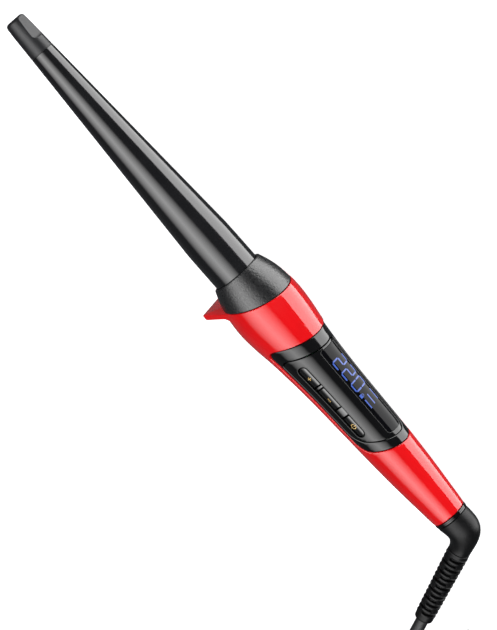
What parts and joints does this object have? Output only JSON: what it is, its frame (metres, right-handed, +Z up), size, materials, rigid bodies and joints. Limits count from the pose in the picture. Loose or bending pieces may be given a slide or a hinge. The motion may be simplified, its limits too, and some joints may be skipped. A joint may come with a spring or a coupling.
{
  "type": "conical curling wand",
  "caption": "Clamp-less conical hair curling wand with a digital display, buttons, heel rest and a swivelling mains lead.",
  "frame": {"origin": "centre of the box of the wand, elbow and strain relief, on the surface it lies on", "axes": "+X towards the cool tip along the wand, +Z up as it lies on its side on its heel rest, display facing -Y and up"},
  "size_m": [0.4763, 0.1287, 0.0378],
  "materials": {
    "tip_nylon": "moulded matt nylon",
    "ceramic_barrel": "satin ceramic coating on aluminium",
    "aluminium": "extruded",
    "ceramic_white": "fired ceramic",
    "socket_resin": "glass-filled resin",
    "collar_nylon": "moulded matt nylon",
    "red_shell": "glossy lacquer on a moulded shell",
    "panel_black": "glossy moulded",
    "display_window": "smoked polished",
    "display_glow": "lit segments",
    "gold_print": "printed",
    "button_black": "satin moulded",
    "board_green": "solder mask",
    "component_black": "moulded",
    "lead_brown": "silicone sleeve",
    "lead_blue": "silicone sleeve",
    "cord_pvc": "soft matt PVC",
    "tie_band": "matt",
    "brass": "bright",
    "steel": "zinc plated",
    "pin_nickel": "nickel plated"
  },
  "bodies": {
    "cord_side": {"cord_elbow": "cord_pvc", "strain_relief": "cord_pvc", "slip_ring_live": "brass", "slip_ring_neutral": "brass", "cord": "cord_pvc", "cord_tail": "cord_pvc", "cord_coil": "cord_pvc", "cord_tie": "tie_band", "plug_body": "cord_pvc", "plug_pin_a": "pin_nickel", "plug_pin_b": "pin_nickel"},
    "wand": {"cool_tip": "tip_nylon", "barrel": "ceramic_barrel", "heater_core": "aluminium", "heater_plate": "ceramic_white", "temperature_sensor": "brass", "thermal_fuse": "steel", "barrel_socket": "socket_resin", "collar": "collar_nylon", "handle_shell": "red_shell", "control_panel": "panel_black", "control_fascia": "panel_black", "display_window": "display_window", "button_tray": "button_black", "control_board": "board_green", "button_board": "board_green", "display_module": "display_glow", "triac": "component_black", "plus_switch": "component_black", "minus_switch": "component_black", "power_switch": "component_black", "inner_chassis": "component_black", "chassis_screw_front": "steel", "chassis_screw_rear": "steel", "heater_lead_live": "lead_brown", "heater_lead_neutral": "lead_blue", "swivel_ring": "collar_nylon", "brush_live": "brass", "brush_neutral": "brass"},
    "plus_key": {"plus_button": "button_black"},
    "minus_key": {"minus_button": "button_black"},
    "power_key": {"power_button": "button_black"}
  },
  "joints": [
    {"name": "cord_swivel", "type": "hinge", "parent": "cord_side", "child": "wand", "pos_m": [-0.1433, -0.01624, 0.00971], "axis": [0.9977, 0, 0.0671], "continuous": true},
    {"name": "plus_press", "type": "slide", "parent": "wand", "child": "plus_key", "axis": [0.0662, -0.1702, -0.9832], "range_m": [0, 0.0007], "stiffness_N_per_m": 1500},
    {"name": "minus_press", "type": "slide", "parent": "wand", "child": "minus_key", "axis": [0.0662, -0.1702, -0.9832], "range_m": [0, 0.0007], "stiffness_N_per_m": 1500},
    {"name": "power_press", "type": "slide", "parent": "wand", "child": "power_key", "axis": [0.0662, -0.1702, -0.9832], "range_m": [0, 0.0007], "stiffness_N_per_m": 1500}
  ]
}
